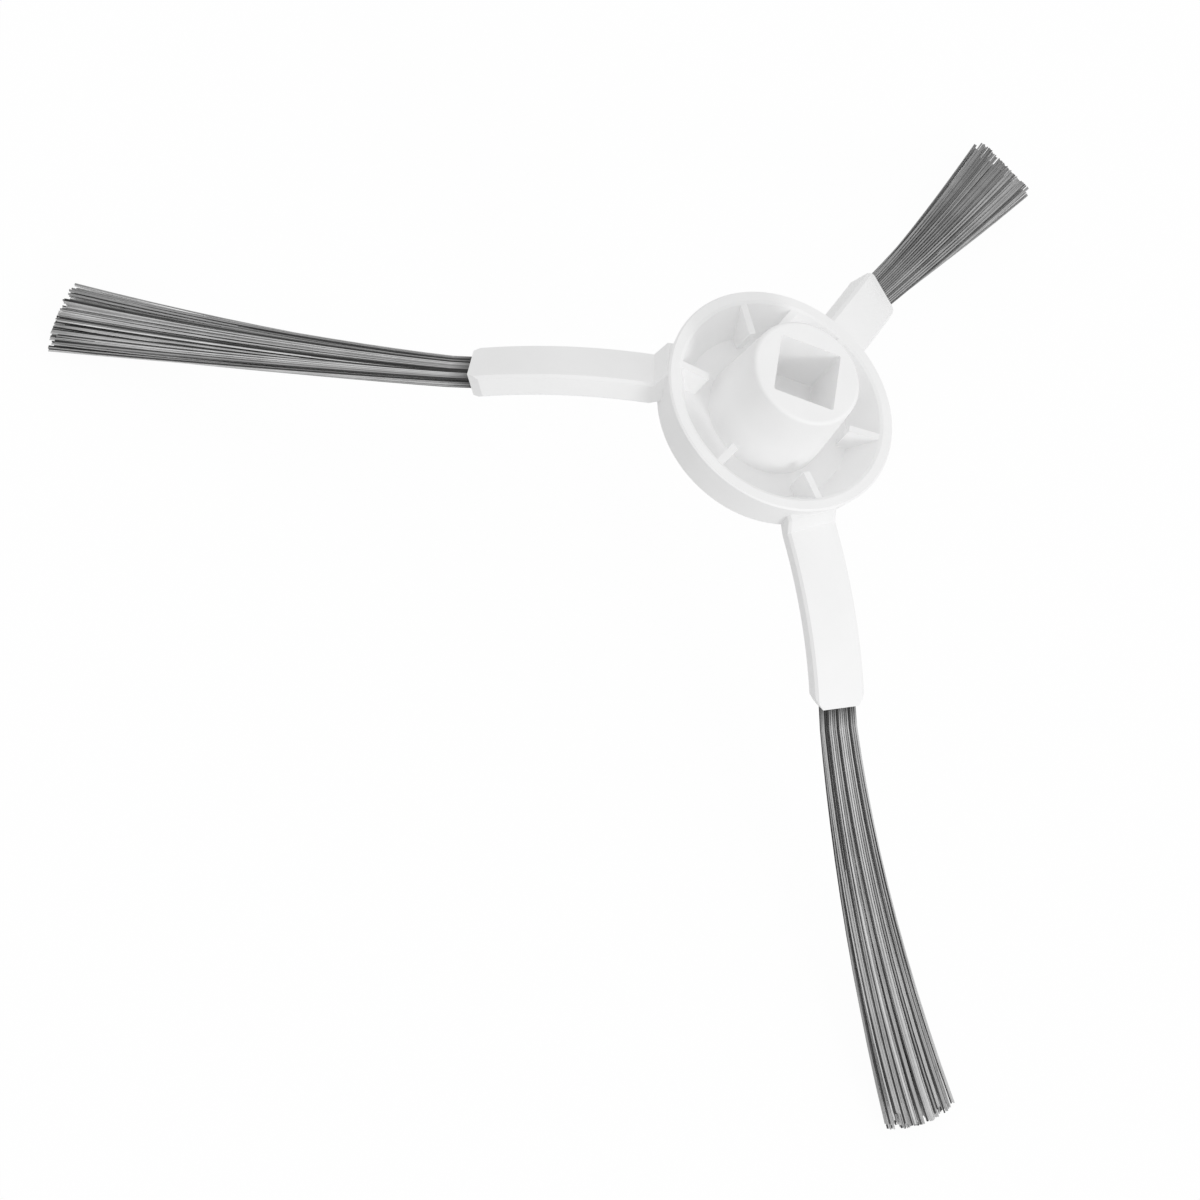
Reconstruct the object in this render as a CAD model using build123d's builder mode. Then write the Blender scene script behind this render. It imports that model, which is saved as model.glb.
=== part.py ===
from build123d import *
import math
import os

# A side brush for a robot vacuum: a moulded hub with three arms, and a tuft of bristles in each arm.
# Sizes are in millimetres and angles in degrees. Z is the drive axis, up is the side that faces the
# robot, and the mouth of the drive socket lies at Z = 0. The sides of the socket face along X and Y.

# Drive socket and boss
socket_side = 7.9           # square hole for the drive shaft
socket_corner = 0.3         # rounding of the socket's upright corners
socket_floor = 4.9          # plastic left under the socket
boss_wall = 1.42            # least wall of the boss, at the socket's corners
boss_rise = 7.1             # boss top above the rim
boss_draft = 0.72           # growth of the boss radius from its top to the dish floor
boss_edge = 0.5             # rounding of the boss's top edge

# Dish round the boss
dish_depth = 4.5            # rim down to the dish floor
channel_width = 3.1         # dish floor between the boss and the wall
wall_lean = 2.6             # how far the inner wall leans out from floor to rim
rim_band = 1.58             # width of the rim's top
rim_edge = 0.25             # bevel on the rim's two edges
outer_lean = 1.05           # how far the outer wall draws in from rim to underside
floor_thickness = 1.3

# Ribs on the dish's inner wall
rib_count = 6
rib_thickness = 0.9
rib_gap = 1.75              # rib to the foot of the boss
rib_top_drop = 0.15         # top edge below the rim, at the wall
rib_end_drop = 0.75         # top edge below the rim, at the inner end
rib_bite = 0.45             # how far a rib runs into the wall
side_rib_offset = 5.8       # one more rib stands parallel to the last arm, this far from the axis

# Arms
arm_count = 3
arm_heading = 3.9           # turn of the first arm from X
arm_offset = -1.32          # middle of the arm beside the drive axis
arm_root_drop = 3.14        # arm top below the rim, where it starts
arm_inset = 1.06            # start of the arm's curve inside the rim's outline
arm_length = 24.1           # along the curve
arm_droop_start = 13.4      # slope of the arm at its start
arm_droop_end = 39.1        # slope of the arm at its end
arm_twist = 18.7            # roll of the arm's section
arm_edge = 0.35             # bevel on the arm's long edges
arm_side_wall = 0.88        # plastic beside the bristle slot
arm_skin = 0.72             # plastic above and below the bristle slot
end_cut_length = 1.4        # slanted cuts on the corners of the arm's end
end_cut_share = 0.9         # their width as a share of the side wall

# Collar where an arm leaves the dish
collar_crease = 0.55        # foot of the collar's ramp, on the arm, outside the rim's outline
collar_run = 1.3            # ramp, measured back along the arm
collar_rise = 2.1           # collar top over the arm top
collar_lift = 0.6           # collar underside over the arm underside, at the top of the ramp
collar_bite = 0.9           # how far the collar runs on into the dish's wall
collar_root_lift = 1.3      # collar underside over the arm underside, inside the wall

# Bristles
filament_columns = 9
filament_rows = 4
filament_sides = 6
filament_width = 0.445      # across the corners of a filament
filament_gap = 0.03         # between neighbours in the slot
slot_clearance = 0.05       # round the whole bundle
slot_depth = 5.0
bristle_length = 50.3       # free length outside the arm
bristle_spans = 3           # straight spans in the free length
bristle_droop_start = 26.7  # slope where the bristles leave the arm
bristle_droop_end = 13.2    # slope at their tips
bristle_turn_start = -4.4   # heading against the arm, where they leave it
bristle_turn_end = -1.1     # heading against the arm, at their tips
bristle_untwist = -20.5     # change in roll from arm to tips
fan_width = 5.3             # half width of the fan at the tips
fan_height = 2.1            # half thickness of the fan at the tips
tip_stagger = 1.8           # most that a filament falls short of the free length
tip_shares = (0.0, 0.75, 0.25, 1.0, 0.5)  # shares of that stagger, taken in turn

# Sizes that follow from those above
boss_top_radius = socket_side / math.sqrt(2) + boss_wall
boss_foot_radius = boss_top_radius + boss_draft
floor_radius = boss_foot_radius + channel_width
rim_inner_radius = floor_radius + wall_lean
rim_radius = rim_inner_radius + rim_band
under_radius = rim_radius - outer_lean
rim_z = -boss_rise
floor_z = rim_z - dish_depth
under_z = floor_z - floor_thickness
socket_depth = -under_z - socket_floor

column_pitch = filament_width + filament_gap
row_pitch = filament_width * math.cos(math.pi / filament_sides) + filament_gap
bundle_width = filament_columns * column_pitch
bundle_height = filament_rows * row_pitch
slot_width = bundle_width + 2 * slot_clearance
slot_height = bundle_height + 2 * slot_clearance
arm_width = slot_width + 2 * arm_side_wall
arm_thickness = slot_height + 2 * arm_skin
end_cut_width = end_cut_share * arm_side_wall

arm_radius = arm_length / math.radians(arm_droop_end - arm_droop_start)
arm_start_x = rim_radius - arm_inset
arm_start_z = rim_z - arm_root_drop
arc_x = arm_start_x - arm_radius * math.sin(math.radians(arm_droop_start))
arc_z = arm_start_z - arm_radius * math.cos(math.radians(arm_droop_start))
crease_x = rim_radius + collar_crease
crease_droop = math.degrees(math.asin((crease_x - arc_x) / arm_radius))


def heading(droop, turn):
    """Direction that points out and down by the droop, turned about Z."""
    level = math.cos(math.radians(droop))
    across = math.radians(turn)
    return Vector(level * math.cos(across), level * math.sin(across), -math.sin(math.radians(droop)))


def section_plane(middle, droop, turn, roll):
    """Plane across a piece that runs along a heading, with its width rolled about that heading."""
    along = heading(droop, turn)
    level = Vector(-math.sin(math.radians(turn)), math.cos(math.radians(turn)), 0)
    width = level.rotate(Axis((0, 0, 0), along), roll)
    return Plane(origin=middle, x_dir=width, z_dir=along)


def arm_plane(droop):
    """Plane across the arm where it has this droop, with its origin on the middle of the top face."""
    x = arc_x + arm_radius * math.sin(math.radians(droop))
    z = arc_z + arm_radius * math.cos(math.radians(droop))
    return section_plane(Vector(x, arm_offset, z), droop, 0, arm_twist)


end_plane = arm_plane(arm_droop_end)
slot_middle = end_plane.from_local_coords(Vector(0, -arm_thickness / 2, 0))
slot_plane = Plane(origin=slot_middle, x_dir=end_plane.x_dir, z_dir=end_plane.z_dir)

# One rib, standing on X
with BuildPart() as rib:
    with BuildSketch(Plane.XZ):
        with BuildLine():
            Polyline(
                (boss_foot_radius + rib_gap, floor_z - floor_thickness / 2),
                (boss_foot_radius + rib_gap, rim_z - rib_end_drop),
                (rim_inner_radius + rib_bite, rim_z - rib_top_drop),
                (floor_radius + rib_bite, floor_z - floor_thickness / 2),
                close=True,
            )
        make_face()
    extrude(amount=rib_thickness / 2, both=True)

# One arm along X: a collar that ramps down to the twisted section, then the section swung along its arc
with BuildPart() as arm:
    for back, rise, lift in (
        (collar_run + collar_bite, collar_rise, collar_root_lift),
        (collar_run, collar_rise, collar_lift),
        (0, 0, 0),
    ):
        with BuildSketch(arm_plane(crease_droop).offset(-back)) as section:
            with Locations((0, (rise + lift - arm_thickness) / 2)):
                Rectangle(arm_width, arm_thickness + rise - lift)
            chamfer(section.vertices(), arm_edge)
    loft(ruled=True)
    arc_axis = Axis((arc_x, arm_offset, arc_z), (0, 1, 0))
    revolve(section.sketch, axis=arc_axis, revolution_arc=arm_droop_end - crease_droop)
    with BuildSketch(Plane(origin=end_plane.origin, x_dir=end_plane.z_dir, z_dir=end_plane.y_dir)):
        for side in (1, -1):
            with BuildLine():
                Polyline(
                    (0, side * (arm_width / 2 - end_cut_width)),
                    (0, side * arm_width),
                    (-end_cut_length * (arm_width / 2 + end_cut_width) / end_cut_width, side * arm_width),
                    close=True,
                )
            make_face()
    extrude(amount=2 * arm_thickness, both=True, mode=Mode.SUBTRACT)
    with BuildSketch(slot_plane):
        Rectangle(slot_width, slot_height)
    extrude(amount=-slot_depth, mode=Mode.SUBTRACT)

# The hub: dish and boss turned in one, then ribs, arms and the drive socket
with BuildPart() as hub:
    with BuildSketch(Plane.XZ) as profile:
        with BuildLine():
            Polyline(
                (0, 0),
                (boss_top_radius, 0),
                (boss_foot_radius, floor_z),
                (floor_radius, floor_z),
                (rim_inner_radius, rim_z),
                (rim_radius, rim_z),
                (under_radius, under_z),
                (0, under_z),
                close=True,
            )
        make_face()
        rim_corners = profile.vertices().filter_by_position(Axis.Y, rim_z, rim_z)
        chamfer(rim_corners, rim_edge)
        boss_corner = profile.vertices().filter_by_position(Axis.Y, 0, 0).sort_by(Axis.X)[-1]
        fillet(boss_corner, boss_edge)
    revolve(axis=Axis.Z)
    with PolarLocations(0, rib_count):
        add(rib.part)
    last_arm = arm_heading + 360 * (arm_count - 1) / arm_count
    side_rib_shift = math.sqrt(rim_inner_radius**2 - side_rib_offset**2) - rim_inner_radius
    with Locations(Location((0, 0, 0), (0, 0, last_arm)) * Location((side_rib_shift, side_rib_offset, 0))):
        add(rib.part)
    with PolarLocations(0, arm_count, start_angle=arm_heading):
        add(arm.part)
    with BuildSketch():
        RectangleRounded(socket_side, socket_side, socket_corner)
    extrude(amount=-socket_depth, mode=Mode.SUBTRACT)
hub.part.label = "hub"


def filament_spans(across, above, length):
    """Straight spans of one filament outside the arm, as vectors. The bundle rounds off as it fans."""
    column_share = 2 * across / bundle_width
    row_share = 2 * above / bundle_height
    fan_across = fan_width * column_share * math.sqrt(1 - row_share**2 / 2)
    fan_above = fan_height * row_share * math.sqrt(1 - column_share**2 / 2)
    middle = slot_plane.origin
    start = slot_plane.from_local_coords(Vector(across, above, 0))
    spans = []
    for span in range(bristle_spans):
        halfway = (span + 0.5) / bristle_spans
        droop = bristle_droop_start + (bristle_droop_end - bristle_droop_start) * halfway
        turn = bristle_turn_start + (bristle_turn_end - bristle_turn_start) * halfway
        middle = middle + heading(droop, turn) * (length / bristle_spans)
        share = (span + 1) / bristle_spans
        fan = section_plane(middle, droop, turn, arm_twist + bristle_untwist * share)
        spread = across + (fan_across - across) * share
        swell = above + (fan_above - above) * share
        end = fan.from_local_coords(Vector(spread, swell, 0))
        spans.append(end - start)
        start = end
    return spans


# One tuft in the arm along X: straight in the slot, then fanning out in short straight spans
out_of_slot = Axis(slot_plane.origin, slot_plane.z_dir)
filaments = []
for column in range(filament_columns):
    for row in range(filament_rows):
        across = (column - (filament_columns - 1) / 2) * column_pitch
        above = (row - (filament_rows - 1) / 2) * row_pitch
        short = tip_stagger * tip_shares[(2 * column + row) % len(tip_shares)]
        with BuildPart() as filament:
            with BuildSketch(slot_plane.offset(-slot_depth)):
                with Locations((across, above)):
                    RegularPolygon(filament_width / 2, filament_sides)
            extrude(amount=slot_depth)
            for span in filament_spans(across, above, bristle_length - short):
                tip = filament.faces().sort_by(out_of_slot)[-1]
                extrude(tip, amount=span.length, dir=span.normalized())
        filaments.append(filament.part.solid())

# The same tuft again in each arm, kept as separate filaments
os.makedirs("parts", exist_ok=True)
export_step(hub.part, "parts/hub.step")
for number in range(arm_count):
    bristle_tuft = Rotation(0, 0, arm_heading + 360 * number / arm_count) * Compound(filaments)
    bristle_tuft.label = f"bristle_tuft_{number + 1}"
    export_step(bristle_tuft, f"parts/bristle_tuft_{number + 1}.step")
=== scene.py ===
import math

import bpy
import numpy as np
from mathutils import Matrix, Vector


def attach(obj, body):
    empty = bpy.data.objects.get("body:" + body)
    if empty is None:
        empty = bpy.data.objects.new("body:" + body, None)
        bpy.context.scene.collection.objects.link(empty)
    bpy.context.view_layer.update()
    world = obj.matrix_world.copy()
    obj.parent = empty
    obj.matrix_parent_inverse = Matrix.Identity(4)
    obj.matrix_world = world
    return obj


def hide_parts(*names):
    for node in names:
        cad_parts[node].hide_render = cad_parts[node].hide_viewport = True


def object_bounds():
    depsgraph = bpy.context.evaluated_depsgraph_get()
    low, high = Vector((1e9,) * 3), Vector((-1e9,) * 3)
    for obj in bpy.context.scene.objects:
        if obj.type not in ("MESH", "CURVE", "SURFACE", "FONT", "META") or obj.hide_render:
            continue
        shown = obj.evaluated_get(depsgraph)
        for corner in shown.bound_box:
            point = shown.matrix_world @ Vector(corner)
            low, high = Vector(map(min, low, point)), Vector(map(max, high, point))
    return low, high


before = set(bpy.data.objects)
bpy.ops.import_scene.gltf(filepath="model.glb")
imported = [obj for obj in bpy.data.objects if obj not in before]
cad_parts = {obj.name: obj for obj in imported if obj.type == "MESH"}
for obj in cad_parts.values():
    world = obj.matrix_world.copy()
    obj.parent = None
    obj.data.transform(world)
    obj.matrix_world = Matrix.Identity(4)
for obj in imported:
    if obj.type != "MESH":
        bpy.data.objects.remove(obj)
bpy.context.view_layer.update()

# A side brush for a robot vacuum: a white moulded hub with three arms, and a tuft of fine bristles in each.
# The hub keeps its solid. The tufts made here follow the same curves as the solids that they replace.
# Sizes are in millimetres and angles in degrees, and meshes are written in metres.

scene = bpy.context.scene
random_seed = 186
rng = np.random.default_rng(random_seed)
millimetres = 1000.0        # in a metre

# Sizes shared with the solids
rim_radius = 15.006
rim_z = -7.1
arm_count = 3
arm_heading = 3.9           # turn of the first arm from X
arm_offset = -1.32          # middle of the arm beside the drive axis
arm_root_drop = 3.14        # arm top below the rim, where it starts
arm_inset = 1.06            # start of the arm's curve inside the rim's outline
arm_length = 24.1           # along the curve
arm_droop_start = 13.4      # slope of the arm at its start
arm_droop_end = 39.1        # slope of the arm at its end
arm_twist = 18.7            # roll of the arm's section
arm_thickness = 3.2
slot_depth = 5.0
slot_width = 4.375
slot_height = 1.761
slot_clearance = 0.05       # round the whole bundle
bristle_length = 50.3       # free length outside the arm
bristle_droop_start = 26.7  # slope where the bristles leave the arm
bristle_droop_end = 13.2    # slope at their tips
bristle_turn_start = -4.4   # heading against the arm, where they leave it
bristle_turn_end = -1.1     # heading against the arm, at their tips
bristle_untwist = -20.5     # change in roll from arm to tips

# Fine bristles
columns = 17
rows = 9
row_stagger = 0.5           # shift of every second row, in columns
layers = 3                  # rows slide together into these as the tuft fans out
bristle_diameter = 0.2
bristle_rings = 15          # sections along a bristle
bristle_sides = 6
fan_width = 5.05            # half width of the fan at the tips
fan_height = 1.8            # half thickness of the fan at the tips
fan_ease = 1.35             # power by which the fan opens along the length
lean_ease = 1.5             # power by which a bristle leaves its place in the fan
bend_length = 1.4           # run in which bristles turn from the arm's slope to their own
line_spare = 4.0            # middle line drawn past the free length, for the longest bristles
line_points = 400
root_gap = 0.05             # root of a bristle to the floor of the slot
root_ring = 0.6             # section inside the slot's mouth
ring_ease = 1.15            # power that sets the sections closer together near the arm

# What differs from tuft to tuft, one value for each
bands = (15, 14, 8)                 # groups of neighbours in a layer
tip_lengths = (0.35, 1.1, 0.2)      # end of the tuft past the free length
tip_slants = (0.95, -0.2, 0.6)      # how much longer one side of the end is than its middle
tip_bows = (0.6, 0.8, -0.7)         # how far the middle of the end stands out
tip_rags = (0.45, 0.45, 0.12)       # unevenness of the end from band to band
tip_leans = (0.0, 0.4, -0.6)        # how far the end leans sideways
lift_spreads = (0.22, 0.22, 0.12)   # how far bands stand over each other at the end
# Painted light and shade: the mean grey of the nylon, raised or lowered for each tuft as the light falls on
# it
tuft_greys_and_painted_light = (0.57, 0.65, 0.44)    # mean shade, from dark at 0 to pale at 1
# Painted light and shade: one side of each tuft lighter and the other darker, as light falls across it
painted_side_shade_slopes = (0.06, 0.08, -0.12)  # how much lighter one side is than the middle
shade_spreads = (0.12, 0.12, 0.07)  # how much the shade differs from band to band
# Painted shade: dark lines stand for the shadow in the gaps between bands
painted_gap_shades = (0.02, 0.02, 0.16)    # shade of the dark lines
painted_gap_shares = (0.7, 0.6, 0.5)        # share of bands with a dark line on one side
pale_lines = (0.52, 0.36, 0.04)     # share of bands with a pale line on the other side
line_slopes = (0.45, -0.2, 0.0)     # how much those shares grow towards one side

# What is the same in every tuft
layer_shift = 0.37          # bands of one layer against those of the next
edge_share = 0.8            # bristles further out than this share of the width lean inwards only
lean_spread = 0.07          # sideways lean, from band to band
lean_jitter = 0.03          # sideways lean, from bristle to bristle
lift_jitter = 0.05          # upward lean, from bristle to bristle
tip_jitter = 0.1            # length, from bristle to bristle
shade_jitter = 0.02         # shade, from bristle to bristle
shade_limits = (0.12, 0.8)  # of the bristles outside the lines
# Painted shade: the dark lines in the gaps between bands
painted_gap_place = 0.3            # a dark line takes the bristles up to this share of a band
pale_place = 0.72           # a pale line takes the bristles past this share of a band
pale_shade = 0.95
# Painted shade of the bristles in the slot and at its mouth
root_painted_shade = 0.3            # share of its shade that a bristle has in the slot
root_painted_shade_run = 1.5             # run over which a shade would grow from none to full

# Plastic and nylon: noise scales are for a metre, stops are pairs of a value and its grey
hub_cloud_scale = 140
hub_cloud_detail = 4
hub_grain_scale = 2600
hub_grain_detail = 3
hub_tones = ((0.3, 0.91), (0.7, 0.94))
hub_roughness = ((0.3, 0.42), (0.7, 0.56))
hub_bump_strength = 0.06
hub_bump_depth = 0.0001     # metres
hub_gloss = 0.4
nylon_tones = ((0.0, 0.04), (0.5, 0.42), (1.0, 0.8))
nylon_cloud_scale = 260
nylon_cloud_detail = 3
nylon_dulling = ((0.3, 0.82), (0.7, 1.0))
nylon_roughness = 0.55
nylon_gloss = 0.3

# Floor and light
floor_reach = 6.0           # metres
floor_drop = 0.0002         # metres below the lowest tip
floor_grey = 0.65
floor_roughness = 0.9
floor_glow = 1.015          # level of the floor's own white
floor_glow_share = 0.95     # share of that white where the floor is seen directly
surround_light = 0.84
surround_white = 1.0        # level where the surround is seen directly
lamp_strength = 0.62
lamp_spread = 14            # angle over which the lamp is spread
lamp_side = (-0.55, 0.7, 0.45)  # direction towards the lamp
light_bounces = 12          # enough for the white inside of the socket and the dish

# Camera, fitted to the photograph
picture_width = 1200        # pixels
focal_length = 5284.064     # pixels
camera_azimuth = 151.614
camera_elevation = 53.84
camera_roll = 43.098
camera_place = (191.23, 354.86, 496.15)  # from the middle of the rim's top
sensor_width = 36.0
nearest_view = 0.01         # metres

# Sizes that follow from those above
arm_start_x = rim_radius - arm_inset
arm_start_z = rim_z - arm_root_drop
column_pitch = (slot_width - 2 * slot_clearance - bristle_diameter) / (columns - 1 + row_stagger)
row_pitch = (slot_height - 2 * slot_clearance - bristle_diameter) / (rows - 1)


def headings(droop, turn):
    """Directions out and down by the droop, turned about Z, one row each."""
    slope = np.radians(droop)
    swing = np.radians(turn)
    return np.stack([np.cos(slope) * np.cos(swing), np.cos(slope) * np.sin(swing), -np.sin(slope)], -1)


def frames(droop, turn, roll):
    """Along, width and height directions of a section, one row each."""
    along = headings(droop, turn)
    swing = np.radians(turn)
    level = np.stack([-np.sin(swing), np.cos(swing), 0 * swing], -1)
    up = np.cross(along, level)
    tilt = np.radians(roll)[..., None]
    width = np.cos(tilt) * level + np.sin(tilt) * up
    return along, width, np.cross(along, width)


def slot_mouth():
    """Middle of the slot's mouth and the direction out of it, for the arm along X."""
    start = math.radians(arm_droop_start)
    end = math.radians(arm_droop_end)
    radius = arm_length / math.radians(arm_droop_end - arm_droop_start)
    x = arm_start_x + radius * (math.sin(end) - math.sin(start))
    z = arm_start_z + radius * (math.cos(end) - math.cos(start))
    along, _, height = frames(np.array(arm_droop_end), np.array(0.0), np.array(arm_twist))
    return np.array([x, arm_offset, z]) - height * arm_thickness / 2, along


def bundle():
    """Layer of each bristle, its place in the slot, and its share of the half width, in slot and fan."""
    column, row = (a.ravel() for a in np.meshgrid(np.arange(columns), np.arange(rows), indexing="ij"))
    from_middle = column - (columns - 1) / 2
    stagger = (row % 2 - 0.5) * row_stagger
    root_u = (from_middle + stagger) * column_pitch
    root_v = (row - (rows - 1) / 2) * row_pitch
    root_share = from_middle * 2 / columns
    deep = rows // layers
    between = (row % deep + 0.5) / deep - 0.5
    tip_share = np.clip(root_share + between * 2 / columns, -1, 1)
    return row // deep, root_u, root_v, root_share, tip_share


def draws(band, spread, jitter):
    """Two random values for each bristle: one that its band shares, and one of its own."""
    shared = rng.normal(0, spread, band.max() + 1)[band]
    own = rng.normal(0, jitter, len(band))
    return shared, own


def variation(number, layer, root_share, tip_share):
    """Sideways lean, upward lean, extra length and shade of each bristle in one tuft, band by band."""
    place = (tip_share + 1) / 2 * bands[number] + layer * layer_shift
    band = place.astype(int) + layer * (bands[number] + 2)

    shared, own = draws(band, lean_spread, lean_jitter)
    lean = shared + own
    inwards = -np.sign(root_share) * np.abs(lean)
    lean = np.where(np.abs(root_share) > edge_share, inwards, lean) + tip_leans[number]

    shared, own = draws(band, lift_spreads[number], lift_jitter)
    lift = shared + own

    shared, own = draws(band, tip_rags[number], tip_jitter)
    end = tip_lengths[number] + tip_slants[number] * root_share + tip_bows[number] * (1 - root_share**2)
    longer = end - np.abs(shared) - np.abs(own)

    shared, own = draws(band, shade_spreads[number], shade_jitter)
    # painted light and shade: the mean grey differs from tuft to tuft as the light falls on each
    shade = tuft_greys_and_painted_light[number] + shared + own
    # painted light and shade: lighter towards one side of the tuft, darker towards the other
    shade = np.clip(shade + painted_side_shade_slopes[number] * tip_share, *shade_limits)
    within = place % 1
    chance = rng.random(band.max() + 1)[band]
    more = line_slopes[number] * tip_share
    # painted shade: a dark line on one side of a band, for the shadow in the gap between bands
    dark = (within < painted_gap_place) & (chance < painted_gap_shares[number] + more)
    pale = (within > pale_place) & (chance > 1 - pale_lines[number] - more)
    shade = np.where(dark, painted_gap_shades[number], shade)
    shade = np.where(pale, pale_shade, shade)
    return lean, lift, longer, shade


def middle_line():
    """Run along the middle of a tuft from the slot's mouth, with its points, droop and turn."""
    run = np.linspace(0, bristle_length + line_spare, line_points)
    share = run / bristle_length
    bend = (arm_droop_end - bristle_droop_start) * np.exp(-run / bend_length)
    droop = bristle_droop_start + (bristle_droop_end - bristle_droop_start) * share + bend
    turn = bristle_turn_start + (bristle_turn_end - bristle_turn_start) * share
    along = headings(droop, turn)
    moves = (along[1:] + along[:-1]) / 2 * np.diff(run)[:, None]
    return run, np.vstack([[0, 0, 0], np.cumsum(moves, 0)]), droop, turn


def tubes(name, points, width, height):
    """Mesh of closed tubes, one for each row of points, with its sections in the given directions."""
    count = len(points)
    circle = np.linspace(0, 2 * math.pi, bristle_sides, endpoint=False)[:, None]
    section = np.cos(circle) * width[:, :, None, :] + np.sin(circle) * height[:, :, None, :]
    verts = (points[:, :, None, :] + section * bristle_diameter / 2).reshape(-1, 3) / millimetres
    corner = np.arange(bristle_sides)
    first = (np.arange(count) * bristle_rings * bristle_sides)[:, None]
    ring = first[:, :, None] + (np.arange(bristle_rings - 1) * bristle_sides)[:, None]
    this = ring + corner
    near = ring + (corner + 1) % bristle_sides
    walls = np.stack([this, near, near + bristle_sides, this + bristle_sides], -1).reshape(-1, 4)
    roots = first + corner[::-1]
    tips = first + (bristle_rings - 1) * bristle_sides + corner
    mesh = bpy.data.meshes.new(name)
    mesh.from_pydata(verts.tolist(), [], walls.tolist() + roots.tolist() + tips.tolist())
    mesh.polygons.foreach_set("use_smooth", [True] * len(mesh.polygons))
    return mesh


def tuft_mesh(name, number):
    """One tuft for the arm along X: bristles straight in the slot, then fanning out in bands."""
    layer, root_u, root_v, root_share, tip_share = bundle()
    lean, lift, longer, shade = variation(number, layer, root_share, tip_share)
    mouth, out = slot_mouth()
    run, line, droop, turn = middle_line()

    # Sections of each bristle along the middle line
    free_steps = np.linspace(0, 1, bristle_rings - 2) ** ring_ease * bristle_length
    steps = np.concatenate([[-slot_depth + root_gap, -root_ring], free_steps])
    free = np.clip(steps, 0, None) * (1 + longer[:, None] / bristle_length)
    share = free / bristle_length
    along_line = np.stack([np.interp(free, run, line[:, axis]) for axis in range(3)], -1)
    centre = mouth + along_line + np.minimum(steps, 0)[:, None] * out
    droop_here = np.where(steps <= 0, arm_droop_end, np.interp(free, run, droop))
    turn_here = np.where(steps <= 0, 0.0, np.interp(free, run, turn))
    _, width, height = frames(droop_here, turn_here, arm_twist + bristle_untwist * share)

    # Places of the bristles round that line, from the slot to the rounded outline of the fan
    level = ((layer + 0.5) / layers - 0.5) * 2
    fan_u = fan_width * tip_share * np.sqrt(1 - level**2 / 2)
    fan_v = fan_height * level * np.sqrt(1 - tip_share**2 / 2)
    opened = share**fan_ease
    across = root_u[:, None] + (fan_u - root_u)[:, None] * opened + lean[:, None] * share**lean_ease
    above = root_v[:, None] + (fan_v - root_v)[:, None] * opened + lift[:, None] * share**lean_ease
    mesh = tubes(name, centre + across[..., None] * width + above[..., None] * height, width, height)

    # Painted shade of each section: darker in the slot and where the bristles leave it, for the shadow of
    # the arm's end
    painted_root_shadow = np.where(steps < 0, root_painted_shade, np.clip(root_painted_shade + free / root_painted_shade_run, 0, 1))
    greys = np.repeat(shade[:, None] * painted_root_shadow, bristle_sides, axis=1)
    values = mesh.attributes.new("shade", "FLOAT", "POINT")
    values.data.foreach_set("value", greys.ravel().astype(np.float32))
    mesh.update()
    return mesh


def new_material(name):
    """Material with its nodes, its links and its main shader."""
    material = bpy.data.materials.new(name)
    material.use_nodes = True
    nodes = material.node_tree.nodes
    return material, nodes, material.node_tree.links, nodes["Principled BSDF"]


def noise(nodes, links, scale, detail):
    """Noise that is fixed to the object."""
    place = nodes.new("ShaderNodeTexCoord")
    node = nodes.new("ShaderNodeTexNoise")
    node.inputs["Scale"].default_value = scale
    node.inputs["Detail"].default_value = detail
    links.new(place.outputs["Object"], node.inputs["Vector"])
    return node.outputs["Fac"]


def ramp(nodes, links, source, stops):
    """Greys at the given values of a source, and between them."""
    node = nodes.new("ShaderNodeValToRGB")
    for value, _ in stops[1:-1]:
        node.color_ramp.elements.new(value)
    for element, (value, grey) in zip(node.color_ramp.elements, stops):
        element.position = value
        element.color = (grey, grey, grey, 1)
    links.new(source, node.inputs["Fac"])
    return node.outputs["Color"]


def hub_plastic():
    """White moulded plastic: slight mottling, a fine satin texture and duller patches."""
    material, nodes, links, shader = new_material("hub_plastic")
    cloud = noise(nodes, links, hub_cloud_scale, hub_cloud_detail)
    links.new(ramp(nodes, links, cloud, hub_tones), shader.inputs["Base Color"])
    links.new(ramp(nodes, links, cloud, hub_roughness), shader.inputs["Roughness"])
    bump = nodes.new("ShaderNodeBump")
    bump.inputs["Strength"].default_value = hub_bump_strength
    bump.inputs["Distance"].default_value = hub_bump_depth
    links.new(noise(nodes, links, hub_grain_scale, hub_grain_detail), bump.inputs["Height"])
    links.new(bump.outputs["Normal"], shader.inputs["Normal"])
    shader.inputs["Specular IOR Level"].default_value = hub_gloss
    return material


def bristle_nylon():
    """Grey nylon bristles: each its own shade, with duller lengths along it."""
    material, nodes, links, shader = new_material("bristle_nylon")
    shade = nodes.new("ShaderNodeAttribute")
    shade.attribute_name = "shade"
    cloud = noise(nodes, links, nylon_cloud_scale, nylon_cloud_detail)
    mix = nodes.new("ShaderNodeMix")
    mix.data_type = "RGBA"
    mix.blend_type = "MULTIPLY"
    mix.inputs["Factor"].default_value = 1.0
    links.new(ramp(nodes, links, shade.outputs["Fac"], nylon_tones), mix.inputs["A"])
    links.new(ramp(nodes, links, cloud, nylon_dulling), mix.inputs["B"])
    links.new(mix.outputs["Result"], shader.inputs["Base Color"])
    shader.inputs["Roughness"].default_value = nylon_roughness
    shader.inputs["Specular IOR Level"].default_value = nylon_gloss
    return material


def seen_directly(nodes, links):
    """Value that is 1 where the camera, a reflection or a clear material looks, and 0 elsewhere."""
    ray = nodes.new("ShaderNodeLightPath")
    seen = ray.outputs["Is Camera Ray"]
    for kind in ("Is Glossy Ray", "Is Transmission Ray"):
        either = nodes.new("ShaderNodeMath")
        either.operation = "MAXIMUM"
        links.new(seen, either.inputs[0])
        links.new(ray.outputs[kind], either.inputs[1])
        seen = either.outputs[0]
    return seen


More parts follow.
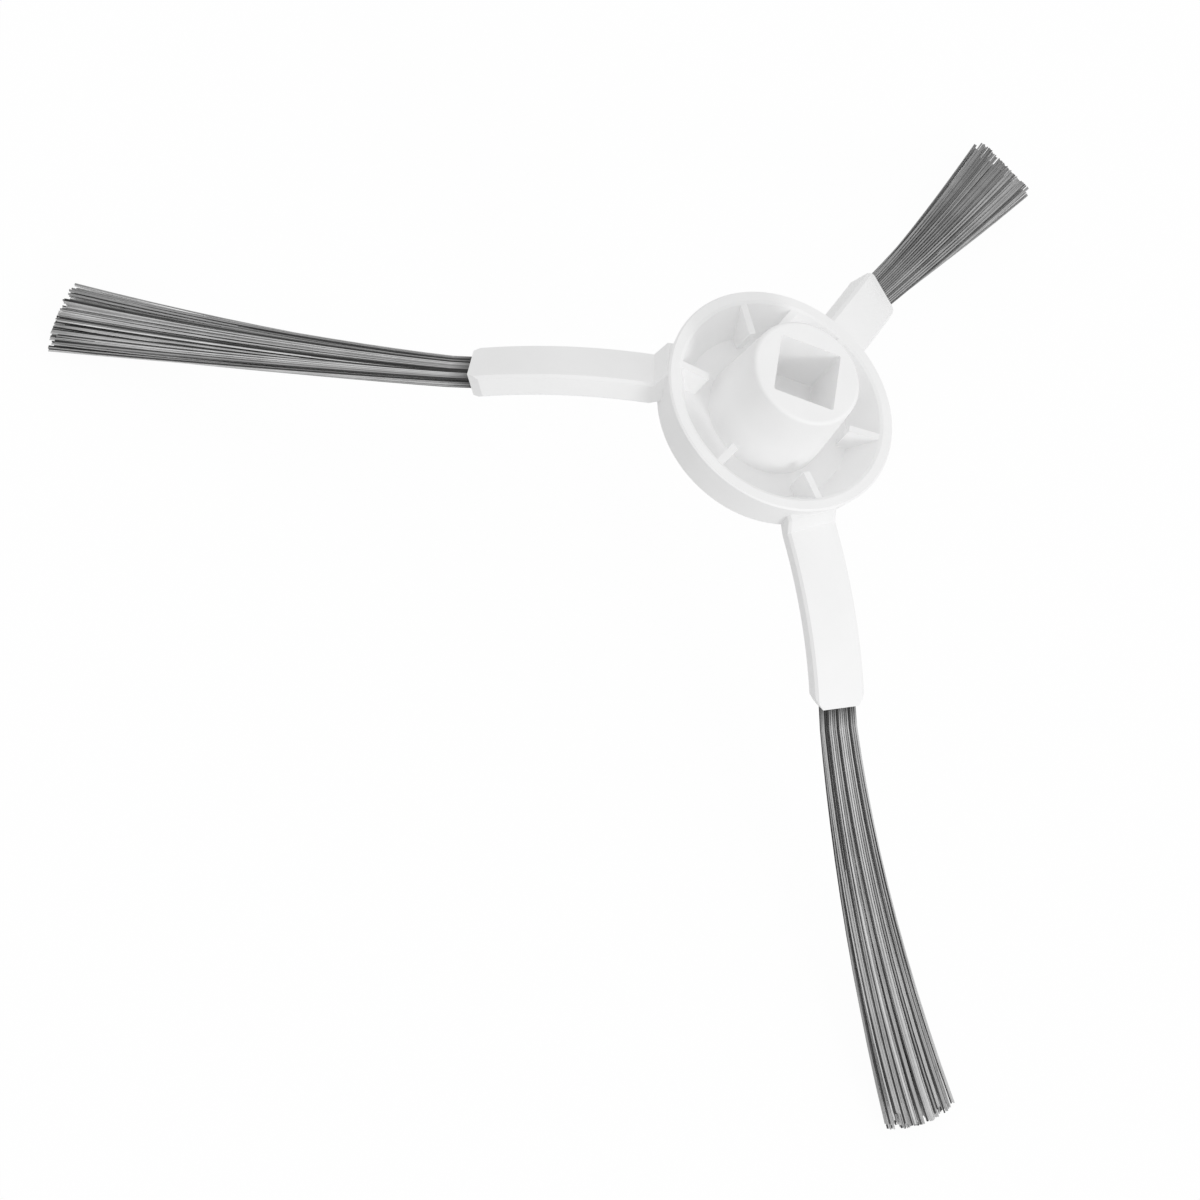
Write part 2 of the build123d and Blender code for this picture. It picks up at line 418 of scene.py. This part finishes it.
def floor_white():
    """Pale floor that looks white where it is seen directly, and keeps a little of the shadow on it."""
    material, nodes, links, shader = new_material("floor_white")
    shader.inputs["Base Color"].default_value = (floor_grey, floor_grey, floor_grey, 1)
    shader.inputs["Roughness"].default_value = floor_roughness
    glow = nodes.new("ShaderNodeEmission")
    glow.inputs["Color"].default_value = (1, 1, 1, 1)
    glow.inputs["Strength"].default_value = floor_glow
    share = nodes.new("ShaderNodeMath")
    share.operation = "MULTIPLY"
    share.inputs[1].default_value = floor_glow_share
    links.new(seen_directly(nodes, links), share.inputs[0])
    blend = nodes.new("ShaderNodeMixShader")
    links.new(share.outputs[0], blend.inputs["Fac"])
    links.new(shader.outputs["BSDF"], blend.inputs[1])
    links.new(glow.outputs["Emission"], blend.inputs[2])
    links.new(blend.outputs["Shader"], nodes["Material Output"].inputs["Surface"])
    return material


def floor_mesh():
    """Flat square just under the lowest tip."""
    lowest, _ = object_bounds()
    corners = ((-1, -1), (1, -1), (1, 1), (-1, 1))
    verts = [(floor_reach * x, floor_reach * y, lowest.z - floor_drop) for x, y in corners]
    mesh = bpy.data.meshes.new("floor")
    mesh.from_pydata(verts, [], [(0, 1, 2, 3)])
    mesh.materials.append(floor_white())
    return mesh


def add_surround():
    """White surround, brighter where it is seen directly than in the light that it gives."""
    world = bpy.data.worlds.new("surround")
    scene.world = world
    world.use_nodes = True
    nodes = world.node_tree.nodes
    links = world.node_tree.links
    background = nodes["Background"]
    background.inputs["Color"].default_value = (1, 1, 1, 1)
    level = nodes.new("ShaderNodeMapRange")
    level.inputs["To Min"].default_value = surround_light
    level.inputs["To Max"].default_value = surround_white
    links.new(seen_directly(nodes, links), level.inputs["Value"])
    links.new(level.outputs["Result"], background.inputs["Strength"])


def add_lamp():
    """One soft lamp from the side."""
    lamp = bpy.data.lights.new("soft_lamp", "SUN")
    lamp.energy = lamp_strength
    lamp.angle = math.radians(lamp_spread)
    holder = bpy.data.objects.new("soft_lamp", lamp)
    holder.rotation_euler = Vector(lamp_side).to_track_quat("Z", "Y").to_euler()
    scene.collection.objects.link(holder)


def add_camera():
    """Camera at the photograph's place, rolled about the line of sight as the photograph is."""
    camera = bpy.data.cameras.new("camera")
    camera.sensor_width = sensor_width
    camera.lens = focal_length / picture_width * sensor_width
    camera.clip_start = nearest_view
    azimuth = math.radians(camera_azimuth)
    elevation = math.radians(camera_elevation)
    roll = math.radians(camera_roll)
    reach = math.cos(elevation)
    away = Vector((math.sin(azimuth) * reach, -math.cos(azimuth) * reach, math.sin(elevation)))
    level = Vector((math.cos(azimuth), math.sin(azimuth), 0))
    upright = away.cross(level)
    right = math.cos(roll) * level + math.sin(roll) * upright
    up = math.cos(roll) * upright - math.sin(roll) * level
    stand = Matrix((right, up, away)).transposed().to_4x4()
    x, y, z = camera_place
    stand.translation = Vector((x / millimetres, y / millimetres, (z + rim_z) / millimetres))
    holder = bpy.data.objects.new("camera", camera)
    scene.collection.objects.link(holder)
    holder.matrix_world = stand
    scene.camera = holder


# Hub, with its own solid
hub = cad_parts["hub"]
hub.data.materials.clear()
hub.data.materials.append(hub_plastic())

# Tufts, one in each arm
nylon = bristle_nylon()
for number in range(arm_count):
    name = f"bristles_{number + 1}"
    tuft = bpy.data.objects.new(name, tuft_mesh(name, number))
    heading = math.radians(arm_heading + 360 * number / arm_count)
    tuft.data.transform(Matrix.Rotation(heading, 4, "Z"))
    tuft.data.materials.append(nylon)
    scene.collection.objects.link(tuft)
    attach(tuft, "root")
    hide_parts(f"bristle_tuft_{number + 1}")

# Stage
floor = bpy.data.objects.new("floor", floor_mesh())
scene.collection.objects.link(floor)
add_surround()
add_lamp()
add_camera()
scene.view_settings.view_transform = "Standard"
scene.cycles.diffuse_bounces = light_bounces
